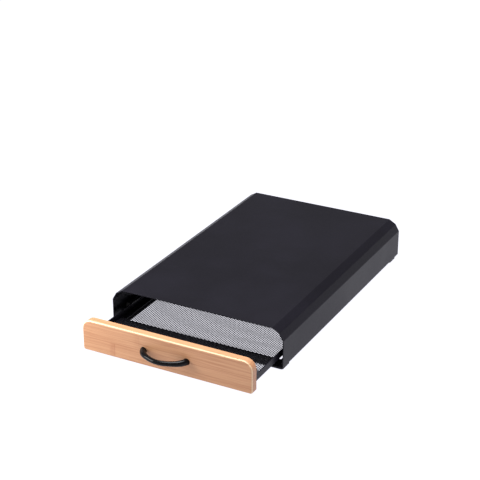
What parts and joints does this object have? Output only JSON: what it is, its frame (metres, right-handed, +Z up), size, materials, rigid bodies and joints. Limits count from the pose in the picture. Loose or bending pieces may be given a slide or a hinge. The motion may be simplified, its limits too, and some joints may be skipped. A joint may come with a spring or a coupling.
{
  "type": "pod drawer",
  "caption": "Low black steel case that a small appliance stands on, with a sliding mesh tray for pods behind a bamboo front with a bow handle.",
  "frame": {"origin": "on the resting surface, midway across, and midway between the handle's bow and the back of the case with the drawer as drawn", "axes": "+X across to the right seen from the handle, +Y from the handle to the back of the case, +Z up"},
  "size_m": [0.26, 0.4978, 0.0602],
  "materials": {
    "case_coat": "satin black powder coat on folded steel",
    "tray_coat": "satin black powder coat",
    "mesh_coat": "black coated steel mesh",
    "bamboo": "clear-oiled bamboo, grain across the panel",
    "handle_enamel": "gloss black",
    "foot_rubber": "matte black rubber",
    "glide_nylon": "black nylon",
    "screw_steel": "zinc-plated steel",
    "rivet_steel": "blackened steel"
  },
  "bodies": {
    "case": {"case_shell": "case_coat", "back_panel": "case_coat", "front_cross_bar": "case_coat", "rear_cross_bar": "case_coat", "cross_bar_rivets": "rivet_steel", "front_foot_left": "foot_rubber", "front_foot_right": "foot_rubber", "rear_foot_left": "foot_rubber", "rear_foot_right": "foot_rubber", "runner_left": "case_coat", "runner_right": "case_coat", "front_glide_left": "glide_nylon", "front_glide_right": "glide_nylon", "bumper_left": "foot_rubber", "bumper_right": "foot_rubber"},
    "drawer": {"front_panel": "bamboo", "handle": "handle_enamel", "handle_screws": "screw_steel", "handle_washers": "screw_steel", "panel_screws": "screw_steel", "tray_side_left": "tray_coat", "tray_side_right": "tray_coat", "tray_front": "tray_coat", "tray_back": "tray_coat", "mesh_floor": "mesh_coat", "rear_glide_left": "glide_nylon", "rear_glide_right": "glide_nylon", "glide_rivets": "rivet_steel"}
  },
  "joints": [
    {"name": "drawer_slide", "type": "slide", "parent": "case", "child": "drawer", "axis": [0, -1, 0], "range_m": [-0.0795, 0.1912]}
  ]
}
